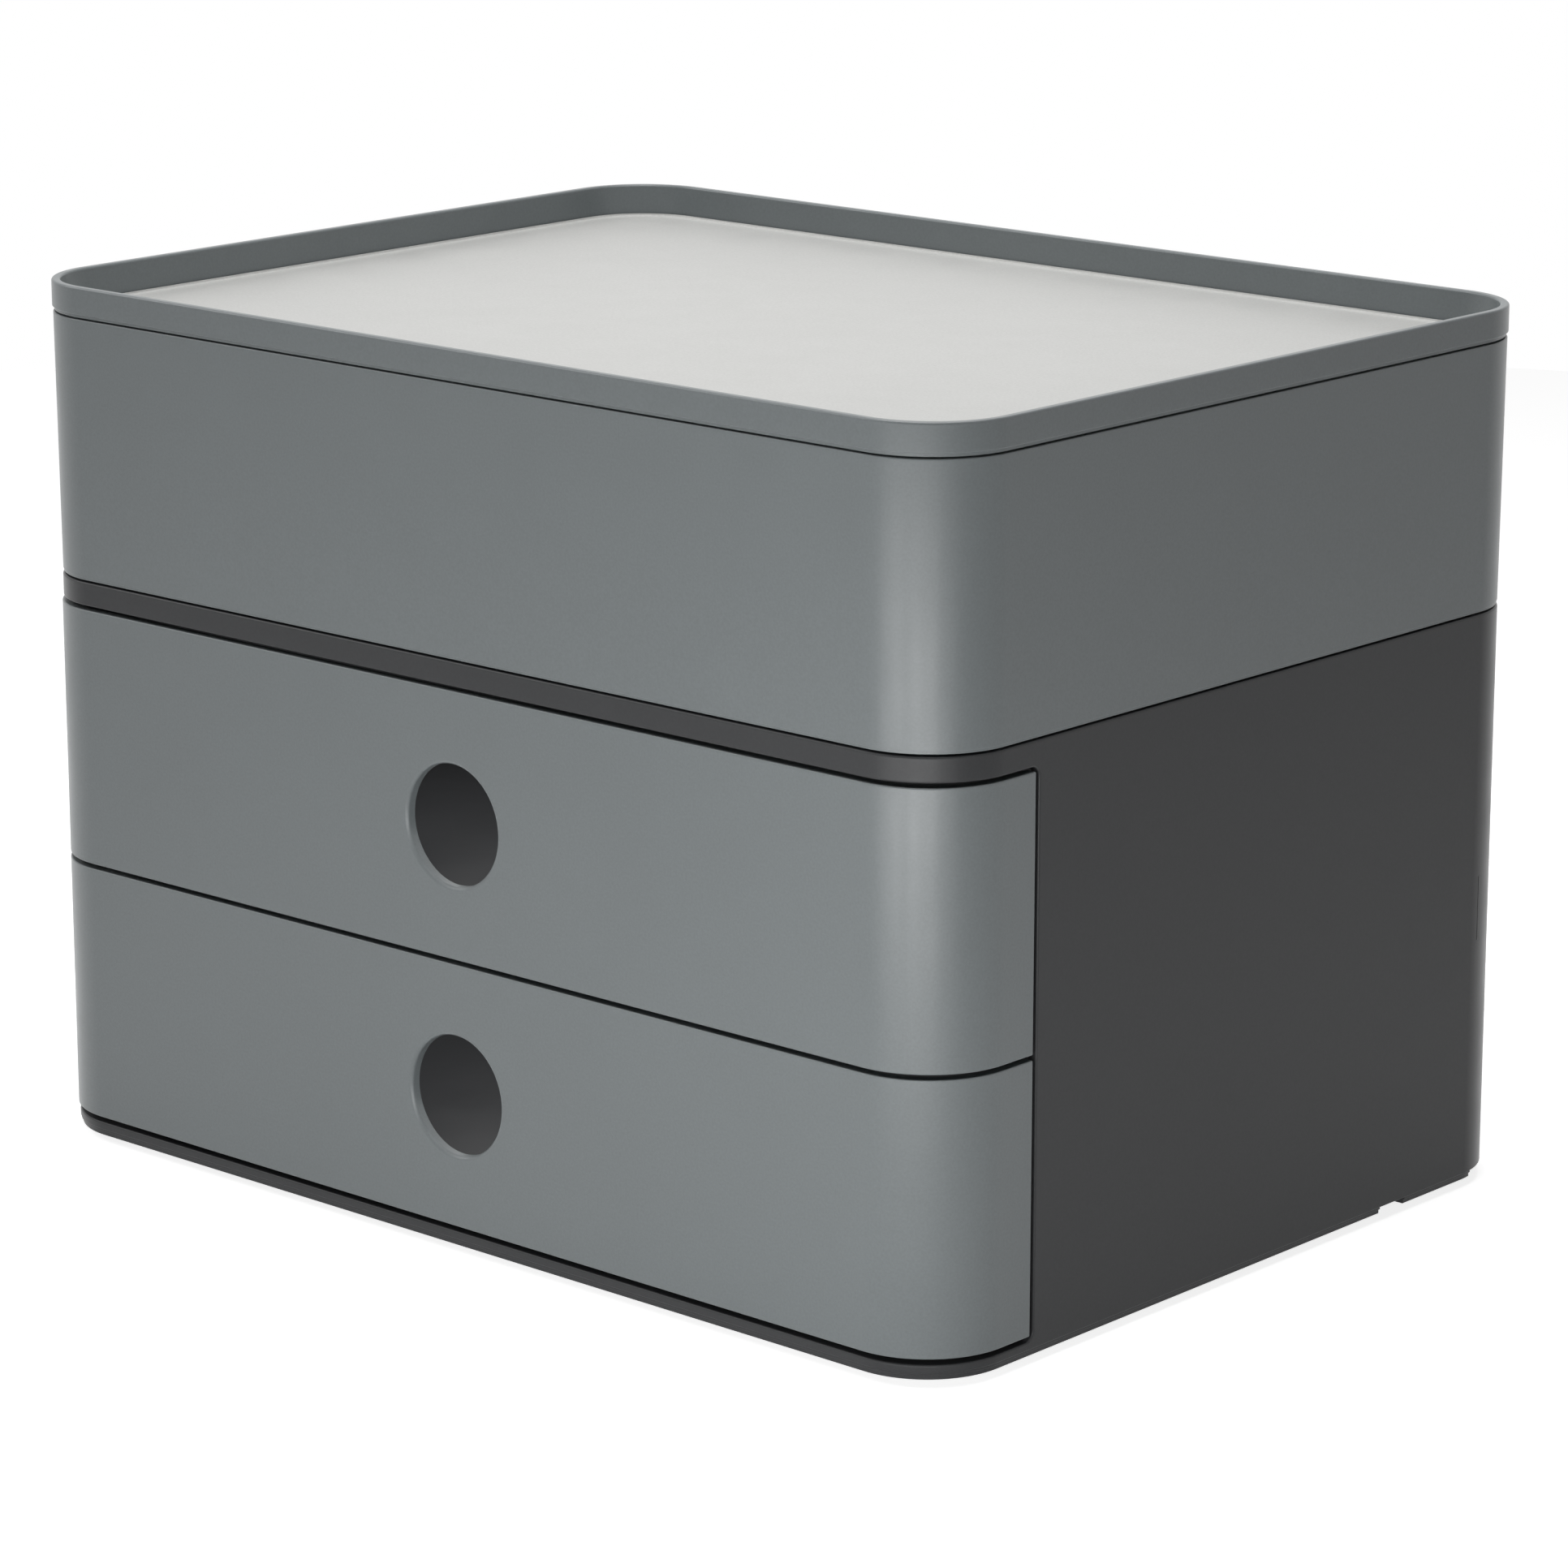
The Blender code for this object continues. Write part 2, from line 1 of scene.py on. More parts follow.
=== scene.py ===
"""Looks of the desk-top file drawer: fine mouldings, plastics, studio light and the photograph's camera.

Metres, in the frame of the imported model: X along the width, -Y to the front, +Z up from the table. Plan
outlines are the lid's outline drawn in by an inset. Profiles are (inset, height, radius) corners.
"""

import math

import bmesh
import bpy
from mathutils import Matrix, Vector


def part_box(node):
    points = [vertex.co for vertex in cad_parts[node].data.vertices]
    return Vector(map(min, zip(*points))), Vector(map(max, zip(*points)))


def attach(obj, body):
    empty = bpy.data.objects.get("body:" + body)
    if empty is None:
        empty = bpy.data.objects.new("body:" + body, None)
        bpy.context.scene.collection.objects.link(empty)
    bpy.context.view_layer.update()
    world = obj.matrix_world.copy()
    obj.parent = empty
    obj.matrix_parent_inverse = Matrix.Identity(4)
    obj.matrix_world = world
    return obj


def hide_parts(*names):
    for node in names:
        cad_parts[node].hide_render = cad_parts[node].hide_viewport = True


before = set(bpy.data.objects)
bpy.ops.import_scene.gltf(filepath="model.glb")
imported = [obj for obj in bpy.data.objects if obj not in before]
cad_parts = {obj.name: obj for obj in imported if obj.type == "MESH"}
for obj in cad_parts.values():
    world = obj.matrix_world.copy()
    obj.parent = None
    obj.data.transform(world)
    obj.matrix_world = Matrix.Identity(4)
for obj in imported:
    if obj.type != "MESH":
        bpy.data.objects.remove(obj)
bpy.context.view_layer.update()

MM = 0.001

# What the frame gives
LID_LOW, LID_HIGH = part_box("lid_tray")
BOX_LOW, BOX_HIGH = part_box("top_box")
SHELL_LOW, SHELL_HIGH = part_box("housing_shell")
MAT_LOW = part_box("lid_mat")[0]
PANEL_LOW, PANEL_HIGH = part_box("back_panel")

HALF_WIDTH = LID_HIGH.x
HALF_DEPTH = LID_HIGH.y
LID_CORNER = 19.4 * MM
BOX_INSET = HALF_WIDTH - BOX_HIGH.x
SHELL_INSET = HALF_WIDTH - SHELL_HIGH.x
CLEARANCE = 0.3 * MM
OVERRUN = 4 * MM

# Lid
LID_UNDERSIDE = BOX_HIGH.z + CLEARANCE
LID_LIP_INSET = 0.5 * MM
LID_LIP_HEIGHT = 0.75 * MM
LID_RIM_WIDTH = 1.9 * MM
LID_WALL_DRAFT = 0.7 * MM
LID_WALL_FOOT = LID_RIM_WIDTH + LID_WALL_DRAFT
LID_EDGE_ROUND = 0.5 * MM
LID_FLOOR_ROUND = 0.8 * MM
LID_PLUG_ROUND = 0.3 * MM
LID_LIP_ROUND = 0.12 * MM
LID_SKIRT_ROUND = 0.2 * MM
MAT_TOP = 182.75 * MM
MAT_COVE = 0.6 * MM
MAT_RIM = 0.2 * MM
MAT_RIM_ROUND = 0.05 * MM
MAT_UNDER_ROUND = 0.5 * MM

# Box
BOX_WALL = 2.2 * MM
BOX_RIM_WALL = 1.1 * MM
BOX_TAPER = 0.35 * MM
BOX_LIP_INSET = 0.15 * MM
BOX_LIP_HEIGHT = 0.6 * MM
BOX_FLOOR = 2.0 * MM
BOX_EDGE_ROUND = 0.3 * MM
BOX_FLOOR_ROUND = 3.0 * MM
BOX_FOOT_ROUND = 0.3 * MM
BOX_LIP_ROUND = 0.15 * MM
BOX_STEP_ROUND = 0.1 * MM
BOX_RIM_ROUND = 0.2 * MM
BOX_RABBET_ROUND = 0.1 * MM
BOX_LEDGE_ROUND = 0.3 * MM

# Housing
PLATEAU_INSET = 12.0 * MM
PLATEAU_HEIGHT = 1.2 * MM
SHELL_TOP = SHELL_HIGH.z - PLATEAU_HEIGHT
SHELL_WALL = 2.0 * MM
TOP_PLATE = 2.4 * MM
SKIRT_INSET = 0.5 * MM
SKIRT_HEIGHT = 1.0 * MM
SKIRT_WALL = 2.5 * MM
UNDERLIP_INSET = 0.15 * MM
UNDERLIP_HEIGHT = 0.5 * MM
LIP_HEIGHT = 1.7 * MM
PLATE_BOTTOM = SHELL_LOW.z + SKIRT_HEIGHT + UNDERLIP_HEIGHT
LIP_TOP = PLATE_BOTTOM + LIP_HEIGHT
BAND_HEIGHT = 5.25 * MM
OPENING_TOP = SHELL_TOP - BAND_HEIGHT
OPENING_CORNER = 2.0 * MM
OPENING_GAP = 1.4 * MM
OPENING_ROUND = 0.45 * MM
SHELL_EDGE_ROUND = 0.5 * MM
SHELL_FOOT_ROUND = 0.2 * MM
SKIRT_ROUND = 0.2 * MM
UNDERLIP_ROUND = 0.1 * MM
PLATEAU_ROUND = 0.4 * MM
PLATEAU_FOOT_ROUND = 0.1 * MM
SKIRT_NOTCH_LENGTH = 8.8 * MM
SKIRT_NOTCH_FROM_BACK = 40.1 * MM
SKIRT_REAR_CUT = 15.9 * MM
SKIRT_REAR_SPAN = 30.0 * MM
WINDOW_MARGIN = 25.5 * MM
WINDOW_SILL = 6.0 * MM
BARB_FROM_BACK = 16.2 * MM
BARB_HEIGHT = 14.0 * MM
BARB_WIDTH = 0.55 * MM
BARB_PROUD = 0.05 * MM
BARB_DROP = 1.3 * MM
PANEL_THICKNESS = 1.8 * MM
PANEL_SINK = 0.2 * MM

# Drawers
FRONT_THICKNESS = 2.4 * MM
FRONT_EDGE_ROUND = 0.3 * MM
HOLE_RADIUS = 12.85 * MM
HOLE_ROUND = 0.85 * MM
TRAY_WALL = 1.8 * MM
TRAY_FLOOR = 1.8 * MM
TRAY_CORNER = 16.5 * MM
TRAY_EDGE_ROUND = 1.0 * MM
TRAY_FLOOR_ROUND = 2.0 * MM
TRAY_HOLE_MARGIN = 5.5 * MM
TRAY_RIM_ROUND = 0.3 * MM
TRAY_LUG_REACH = 1.7 * MM
BREAK_EDGE = 0.2 * MM

# Feet
FOOT_ROUND = 0.6 * MM
FOOT_TOP_ROUND = 0.2 * MM
FOOT_CENTRE = 0.3 * MM

# Flat borders between the end of a profile and the cap that closes it
CAP_BORDER = 4 * MM
MAT_CAP_BORDER = 6 * MM
TRAY_CAP_BORDER = 6 * MM
BOX_CAP_BORDER = 8 * MM
SKIRT_CAP_BORDER = 1 * MM

# The plastics' patterns: features per metre, how many finer layers they have, and the noise's usual range
CLOUD_SCALE = 35
CLOUD_LAYERS = 3
FLECK_SCALE = 1900
FLECK_LAYERS = 2
GLOSS_SCALE = 2 * CLOUD_SCALE
GLOSS_LAYERS = 4
GLOSS_SPREAD = 0.1
GRAIN_SCALE = 1400
GRAIN_LAYERS = 2
NOISE_RANGE = (0.3, 0.7)

# Name, colour, roughness, specular level, depth of the clouds and of the flecks, height of the grain
PLASTICS = (
    ("granite", (0.150, 0.168, 0.173), 0.32, 0.5, 0.015, 0.05, 0.003 * MM),
    ("charcoal", (0.041, 0.042, 0.044), 0.32, 0.20, 0.015, 0.06, 0.003 * MM),
    # The barb tips' lighter grey is a painted highlight: it stands in for the thin line of light caught
    # along the upright bar in the side wall
    ("painted_highlight", (0.080, 0.080, 0.081), 0.5, 0.3, 0.015, 0.06, 0.003 * MM),
    # The pale mat's colour is partly its own pale grey and partly painted top light, standing in for strong
    # light from above on the lid's top
    ("pale", (0.535, 0.535, 0.52), 0.42, 0.5, 0.01, 0.05, 0.004 * MM),
    ("rubber", (0.020, 0.020, 0.021), 0.8, 0.4, 0.02, 0.06, 0.02 * MM),
)

# How finely round shapes are divided
CORNER_STEPS = 28
FILLET_STEPS = 5
HOLE_STEPS = 96
FOOT_STEPS = 48
ROUND_STEPS = 3
BREAK_STEPS = 2

# What counts as a sharp edge, an upright face and one point
SHARP_ANGLE = math.radians(35)
UPRIGHT_LEAN = 0.1
WELD_DISTANCE = 0.002 * MM
FRAME_WELD_DISTANCE = 0.001 * MM


def arc(a, b, radius, start, end, steps):
    """Points (a, b) of an arc about a centre, between two angles in degrees."""
    points = []
    for step in range(steps + 1):
        angle = math.radians(start + (end - start) * step / steps)
        points.append((a + radius * math.cos(angle), b + radius * math.sin(angle)))
    return points


def soften(corners, closed=False):
    """Points (a, b) of an outline whose corners (a, b, radius) are rounded."""
    count = len(corners)
    points = []
    for index, (a, b, radius) in enumerate(corners):
        here = Vector((a, b))
        if not radius or (not closed and index in (0, count - 1)):
            points.append(here)
            continue
        to_before = (Vector(corners[index - 1][:2]) - here).normalized()
        to_after = (Vector(corners[(index + 1) % count][:2]) - here).normalized()
        half = to_before.angle(to_after) / 2
        centre = here + (to_before + to_after).normalized() * (radius / math.sin(half))
        reach = radius / math.tan(half)
        start = (here + to_before * reach - centre).normalized()
        end = (here + to_after * reach - centre).normalized()
        for step in range(FILLET_STEPS + 1):
            points.append(centre + start.slerp(end, step / FILLET_STEPS) * radius)
    return points


def finished_mesh(name, shape):
    bmesh.ops.recalc_face_normals(shape, faces=shape.faces)
    mesh = bpy.data.meshes.new(name)
    shape.to_mesh(mesh)
    shape.free()
    return mesh


def skin_loops(name, loops):
    """A closed mesh: a skin from each loop of points to the next, with a cap at each end."""
    shape = bmesh.new()
    rings = [[shape.verts.new(point) for point in loop] for loop in loops]
    count = len(rings[0])
    for lower, upper in zip(rings, rings[1:]):
        for i in range(count):
            j = (i + 1) % count
            shape.faces.new((lower[i], lower[j], upper[j], upper[i]))
    shape.faces.new(reversed(rings[0]))
    shape.faces.new(rings[-1])
    return finished_mesh(name, shape)


def rounded_rectangle(half_x, half_y, radius, z, centre_y=0.0):
    points = []
    for side_x, side_y, start in ((1, -1, -90), (1, 1, 0), (-1, 1, 90), (-1, -1, 180)):
        centre = (side_x * (half_x - radius), side_y * (half_y - radius) + centre_y)
        for x, y in arc(*centre, radius, start, start + 90, CORNER_STEPS):
            points.append(Vector((x, y, z)))
    return points


def outline_mesh(name, corners):
    """A solid whose side follows the plan outline, from (inset, z, radius) corners."""
    loops = []
    for inset, z in soften(corners):
        loops.append(rounded_rectangle(HALF_WIDTH - inset, HALF_DEPTH - inset, LID_CORNER - inset, z))
    return skin_loops(name, loops)


def wrap_mesh(name, inset, end_y, way, corners):
    """A wall that wraps round the front (way -1) or the back (way 1), from (depth, z, radius) corners."""
    half_x = HALF_WIDTH - inset
    half_y = HALF_DEPTH - inset
    radius = LID_CORNER - inset
    path = [(half_x, end_y, 1.0, 0.0)]
    for side, start in ((1, 0), (-1, 90)):
        for normal_x, normal_y in arc(0.0, 0.0, 1.0, start, start + 90, CORNER_STEPS):
            x = side * (half_x - radius) + radius * normal_x
            y = way * (half_y - radius + radius * normal_y)
            path.append((x, y, normal_x, way * normal_y))
    path.append((-half_x, end_y, -1.0, 0.0))
    section = soften(corners, closed=True)
    loops = []
    for x, y, normal_x, normal_y in path:
        loops.append([Vector((x - depth * normal_x, y - depth * normal_y, z)) for depth, z in section])
    return skin_loops(name, loops)


def prism(name, polygon, low, high):
    """A polygon of (y, z) points drawn out along X."""
    return skin_loops(name, [[Vector((x, y, z)) for y, z in polygon] for x in (low, high)])


def block(name, corner, opposite):
    low = [min(pair) for pair in zip(corner, opposite)]
    high = [max(pair) for pair in zip(corner, opposite)]
    face = ((low[1], low[2]), (high[1], low[2]), (high[1], high[2]), (low[1], high[2]))
    return prism(name, face, low[0], high[0])


def turned(name, pairs, centre, steps, along):
    """A solid turned about a line along Y or Z, from (radius, place) pairs."""
    loops = []
    for radius, place in pairs:
        ring = []
        for across, up in arc(0.0, 0.0, radius, 0, 360 - 360 / steps, steps - 1):
            if along == "Y":
                ring.append(Vector((centre[0] + across, place, centre[1] + up)))
            else:
                ring.append(Vector((centre[0] + across, centre[1] + up, place)))
        loops.append(ring)
    return skin_loops(name, loops)


def carved(mesh, cutters=(), additions=()):
    """The mesh with some solids cut away and others joined to it."""
    target = bpy.data.objects.new("carved", mesh)
    bpy.context.scene.collection.objects.link(target)
    helpers = []
    for operation, solids in (("UNION", additions), ("DIFFERENCE", cutters)):
        for solid in solids:
            helper = bpy.data.objects.new("helper", solid)
            bpy.context.scene.collection.objects.link(helper)
            helpers.append(helper)
            modifier = target.modifiers.new("carve", "BOOLEAN")
            modifier.operation = operation
            modifier.solver = "EXACT"
            modifier.object = helper
    evaluated = target.evaluated_get(bpy.context.evaluated_depsgraph_get())
    result = bpy.data.meshes.new_from_object(evaluated)
    for leftover in [target] + helpers:
        bpy.data.objects.remove(leftover)
    return result


def break_edges(mesh, width, steps, chosen):
    """Rounds the mesh's sharp edges for which chosen(edge) is true."""
    shape = bmesh.new()
    shape.from_mesh(mesh)
    bmesh.ops.remove_doubles(shape, verts=shape.verts, dist=WELD_DISTANCE)
    bmesh.ops.dissolve_degenerate(shape, edges=shape.edges, dist=WELD_DISTANCE)
    between_two = [edge for edge in shape.edges if len(edge.link_faces) == 2]
    sharp = [edge for edge in between_two if edge.calc_face_angle() > SHARP_ANGLE]
    edges = [edge for edge in sharp if chosen(edge)]
    bmesh.ops.bevel(shape, geom=edges, offset=width, offset_type="OFFSET", segments=steps, profile=0.5,
                    affect="EDGES", clamp_overlap=False)
    return finished_mesh(mesh.name, shape)


def piece(name, mesh, body, slot, finish, *nodes):
    """A shown piece that rides on a body and stands for some of the frame's nodes."""
    mesh.materials.clear()
    mesh.materials.append(finish)
    made = bpy.data.objects.new(name, mesh)
    bpy.context.scene.collection.objects.link(made)
    mesh.shade_smooth()
    mesh.set_sharp_from_angle(angle=SHARP_ANGLE)
    weighted = made.modifiers.new("even shading", "WEIGHTED_NORMAL")
    weighted.keep_sharp = True
    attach(made, body)
    if nodes:
        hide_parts(*nodes)
    return made


def plastic(name, colour, roughness, specular, clouds, flecks, grain_height):
    """Moulded plastic: faint clouds and fine flecks in the colour, a fine grain, and a gloss that varies."""
    made = bpy.data.materials.new(name)
    made.use_nodes = True
    nodes = made.node_tree.nodes
    links = made.node_tree.links
    shader = nodes["Principled BSDF"]
    place = nodes.new("ShaderNodeTexCoord").outputs["Object"]

    def noise(scale, layers):
        texture = nodes.new("ShaderNodeTexNoise")
        texture.inputs["Scale"].default_value = scale
        texture.inputs["Detail"].default_value = layers
        links.new(place, texture.inputs["Vector"])
        return texture.outputs["Fac"]

    def spread(value, low, high):
        change = nodes.new("ShaderNodeMapRange")
        change.inputs["From Min"].default_value = NOISE_RANGE[0]
        change.inputs["From Max"].default_value = NOISE_RANGE[1]
        change.inputs["To Min"].default_value = low
        change.inputs["To Max"].default_value = high
        links.new(value, change.inputs["Value"])
        return change.outputs["Result"]

    both = nodes.new("ShaderNodeMath")
    both.operation = "MULTIPLY"
    links.new(spread(noise(CLOUD_SCALE, CLOUD_LAYERS), 1 - clouds, 1 + clouds), both.inputs[0])
    links.new(spread(noise(FLECK_SCALE, FLECK_LAYERS), 1 - flecks, 1 + flecks), both.inputs[1])
    tint = nodes.new("ShaderNodeVectorMath")
    tint.operation = "SCALE"
    tint.inputs[0].default_value = colour
    links.new(both.outputs[0], tint.inputs["Scale"])
    links.new(tint.outputs[0], shader.inputs["Base Color"])
    smoother = (1 - GLOSS_SPREAD) * roughness
    rougher = (1 + GLOSS_SPREAD) * roughness
    links.new(spread(noise(GLOSS_SCALE, GLOSS_LAYERS), smoother, rougher), shader.inputs["Roughness"])
    shader.inputs["Specular IOR Level"].default_value = specular
    bump = nodes.new("ShaderNodeBump")
    bump.inputs["Strength"].default_value = 1.0
    bump.inputs["Distance"].default_value = grain_height
    links.new(noise(GRAIN_SCALE, GRAIN_LAYERS), bump.inputs["Height"])
    links.new(bump.outputs["Normal"], shader.inputs["Normal"])
    return made


def build_lid(granite, pale):
    """The lid with its raised rim, and the pale mat in it, whose pale colour is partly its own and partly
    painted light from above on the lid's top.
    """
    plug = BOX_INSET + BOX_RIM_WALL + CLEARANCE
    lip_top = LID_UNDERSIDE + LID_LIP_HEIGHT
    floor = MAT_LOW.z - CLEARANCE
    corners = [
        (plug + CAP_BORDER, LID_LOW.z, 0),
        (plug, LID_LOW.z, LID_PLUG_ROUND),
        (plug, LID_UNDERSIDE, 0),
        (LID_LIP_INSET, LID_UNDERSIDE, LID_LIP_ROUND),
        (LID_LIP_INSET, lip_top, 0),
        (0.0, lip_top, LID_SKIRT_ROUND),
        (0.0, LID_HIGH.z, LID_EDGE_ROUND),
        (LID_RIM_WIDTH, LID_HIGH.z, LID_EDGE_ROUND),
        (LID_WALL_FOOT, floor, LID_FLOOR_ROUND),
        (LID_WALL_FOOT + CAP_BORDER, floor, 0),
    ]
    mesh = outline_mesh("lid_moulding", corners)
    piece("lid_moulding", mesh, "lid", "granite_plastic", granite, "lid_tray")
    side = LID_WALL_FOOT + CLEARANCE
    corners = [
        (side + CAP_BORDER, MAT_LOW.z, 0),
        (side, MAT_LOW.z, MAT_UNDER_ROUND),
        (side, MAT_TOP + MAT_COVE, MAT_RIM_ROUND),
        (side + MAT_RIM, MAT_TOP + MAT_COVE, MAT_RIM_ROUND),
        (side + MAT_RIM, MAT_TOP, MAT_COVE - MAT_RIM_ROUND),
        (side + MAT_CAP_BORDER, MAT_TOP, 0),
    ]
    piece("lid_inlay", outline_mesh("lid_inlay", corners), "lid", "pale_plastic", pale, "lid_mat")


def build_box(granite):
    """The deep box, hollow underneath to fit over the housing's plateau, and rabbeted for the lid."""
    low = BOX_LOW.z
    underside = PLATEAU_INSET - CLEARANCE
    ceiling = SHELL_HIGH.z + CLEARANCE
    floor = ceiling + BOX_FLOOR
    foot = BOX_INSET + BOX_TAPER
    lip = foot + BOX_LIP_INSET
    rim = BOX_INSET + BOX_RIM_WALL
    inner = BOX_INSET + BOX_WALL
    rabbet = LID_LOW.z - CLEARANCE
    corners = [
        (underside + CAP_BORDER, ceiling, 0),
        (underside, ceiling, BOX_FOOT_ROUND),
        (underside, low, BOX_FOOT_ROUND),
        (lip, low, BOX_LIP_ROUND),
        (lip, low + BOX_LIP_HEIGHT, 0),
        (foot, low + BOX_LIP_HEIGHT, BOX_STEP_ROUND),
        (BOX_INSET, BOX_HIGH.z, BOX_EDGE_ROUND),
        (rim, BOX_HIGH.z, BOX_RIM_ROUND),
        (rim, rabbet, BOX_RABBET_ROUND),
        (inner, rabbet, BOX_LEDGE_ROUND),
        (inner, floor, BOX_FLOOR_ROUND),
        (inner + BOX_CAP_BORDER, floor, 0),
    ]
    mesh = outline_mesh("box_moulding", corners)
    piece("box_moulding", mesh, "box", "granite_plastic", granite, "top_box")


def barb_block(side):
    """The tip of a barb of the back panel, which shows as a thin upright bar in the side wall."""
    rear = HALF_DEPTH - SHELL_INSET
    centre_x = side * (HALF_WIDTH - LID_CORNER)
    centre_y = HALF_DEPTH - LID_CORNER
    radius = LID_CORNER - SHELL_INSET
    turn = math.asin((rear - BARB_FROM_BACK - centre_y) / radius)
    level = (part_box("lower_drawer_front")[1].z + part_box("upper_drawer_front")[0].z) / 2 - BARB_DROP
    low = (side * (radius - SHELL_WALL / 2), -BARB_WIDTH / 2, level - BARB_HEIGHT / 2)
    high = (side * (radius + BARB_PROUD), BARB_WIDTH / 2, level + BARB_HEIGHT / 2)
    made = block("barb", low, high)
    made.transform(Matrix.Translation((centre_x, centre_y, 0)) @ Matrix.Rotation(side * turn, 4, "Z"))
    return made


def build_housing(charcoal, painted_highlight):
    """Top, sides and base in one moulding, with the mouth for the drawers and the window at the back."""
    skirt = SHELL_INSET + SKIRT_INSET
    underlip = SHELL_INSET + UNDERLIP_INSET
    skirt_top = SHELL_LOW.z + SKIRT_HEIGHT
    rear = HALF_DEPTH - SHELL_INSET
    inner = SHELL_INSET + SHELL_WALL
    corners = [
        (skirt + SKIRT_CAP_BORDER, SHELL_LOW.z, 0),
        (skirt, SHELL_LOW.z, SKIRT_ROUND),
        (skirt, skirt_top, 0),
        (underlip, skirt_top, UNDERLIP_ROUND),
        (underlip, PLATE_BOTTOM, 0),
        (SHELL_INSET, PLATE_BOTTOM, SHELL_FOOT_ROUND),
        (SHELL_INSET, SHELL_TOP, SHELL_EDGE_ROUND),
        (PLATEAU_INSET, SHELL_TOP, PLATEAU_FOOT_ROUND),
        (PLATEAU_INSET, SHELL_HIGH.z, PLATEAU_ROUND),
        (PLATEAU_INSET + CAP_BORDER, SHELL_HIGH.z, 0),
    ]
    blank = outline_mesh("housing_moulding", corners)
    ceiling = SHELL_TOP - TOP_PLATE
    cavity = outline_mesh("cavity", [(inner, LIP_TOP, 0), (inner, ceiling, 0)])
    hollow = skirt + SKIRT_WALL
    under = outline_mesh("under", [(hollow, -OVERRUN, 0), (hollow, PLATE_BOTTOM, 0)])
    opening_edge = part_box("upper_drawer_front")[1].y + OPENING_GAP
    centre = opening_edge - OPENING_CORNER
    front = -HALF_DEPTH - OVERRUN
    mouth = [(front, LIP_TOP)]
    mouth += arc(centre, LIP_TOP + OPENING_CORNER, OPENING_CORNER, -90, 0, FILLET_STEPS * 2)
    mouth += arc(centre, OPENING_TOP - OPENING_CORNER, OPENING_CORNER, 0, 90, FILLET_STEPS * 2)
    mouth.append((front, OPENING_TOP))
    reach = HALF_WIDTH + OVERRUN
    cutters = [cavity, under, prism("mouth", mouth, -reach, reach)]
    window = HALF_WIDTH - WINDOW_MARGIN
    sill = LIP_TOP + WINDOW_SILL
    head = ceiling - WINDOW_SILL
    low = (-window, rear - SHELL_WALL - OVERRUN, sill)
    high = (window, rear + OVERRUN, head)
    cutters.append(block("window", low, high))
    notch_back = rear - SKIRT_NOTCH_FROM_BACK
    for side in (-1, 1):
        outer = side * (HALF_WIDTH + OVERRUN)
        deep = side * (HALF_WIDTH - hollow - OVERRUN)
        notch = ((deep, notch_back - SKIRT_NOTCH_LENGTH, -OVERRUN), (outer, notch_back, PLATE_BOTTOM))
        span = side * (HALF_WIDTH - SKIRT_REAR_SPAN)
        corner = ((span, rear - SKIRT_REAR_CUT, -OVERRUN), (outer, rear + OVERRUN, PLATE_BOTTOM))
        cutters.append(block("notch", *notch))
        cutters.append(block("corner", *corner))
    shell = carved(blank, cutters)

    def on_mouth(edge):
        """True for the edges where the outside of the walls meets the mouth or the window."""
        across = [face.normal for face in edge.link_faces]
        middle = (edge.verts[0].co + edge.verts[1].co) / 2
        if middle.z < LIP_TOP - CLEARANCE or middle.z > OPENING_TOP + CLEARANCE:
            return False
        outside = max(abs(middle.x) - (HALF_WIDTH - inner), abs(middle.y) - (HALF_DEPTH - inner))
        corner_x = abs(middle.x) - (HALF_WIDTH - LID_CORNER)
        corner_y = abs(middle.y) - (HALF_DEPTH - LID_CORNER)
        if corner_x > 0 and corner_y > 0:
            outside = math.hypot(corner_x, corner_y) - (LID_CORNER - inner)
        upright = any(abs(normal.z) < UPRIGHT_LEAN for normal in across)
        return outside > SHELL_WALL / 2 and upright

    shell = break_edges(shell, OPENING_ROUND, ROUND_STEPS, on_mouth)
    shell.name = "housing_moulding"
    piece("housing_moulding", shell, "housing", "charcoal_plastic", charcoal, "housing_shell")
    # The barb tips wear the lighter grey, a painted highlight along the thin bar in each side wall
    for label, side in (("left", -1), ("right", 1)):
        piece(f"barb_tip_{label}", barb_block(side), "housing", "charcoal_plastic", painted_highlight)


def build_back_panel(charcoal):
    """The panel that fills the window in the back, with its wings along the side walls."""
    inset = SHELL_INSET + SHELL_WALL + CLEARANCE
    corners = [
        (0.0, PANEL_LOW.z, BREAK_EDGE),
        (0.0, PANEL_HIGH.z, BREAK_EDGE),
        (PANEL_THICKNESS, PANEL_HIGH.z, BREAK_EDGE),
        (PANEL_THICKNESS, PANEL_LOW.z, BREAK_EDGE),
    ]
    wall = wrap_mesh("panel_moulding", inset, PANEL_LOW.y, 1, corners)
    half = HALF_WIDTH - WINDOW_MARGIN - CLEARANCE
    front = HALF_DEPTH - inset - PANEL_THICKNESS / 2
    rear = HALF_DEPTH - SHELL_INSET - PANEL_SINK
    sill = LIP_TOP + WINDOW_SILL + CLEARANCE
    head = SHELL_TOP - TOP_PLATE - WINDOW_SILL - CLEARANCE
    panel = carved(wall, additions=[block("pad", (-half, front, sill), (half, rear, head))])

    def on_pad(edge):
        """True for the edges round the outer face of the pad."""
        return min(end.co.y for end in edge.verts) > rear - CLEARANCE

    panel = break_edges(panel, OPENING_ROUND, ROUND_STEPS, on_pad)
    panel.name = "panel_moulding"
    piece("panel_moulding", panel, "housing", "charcoal_plastic", charcoal, "back_panel")


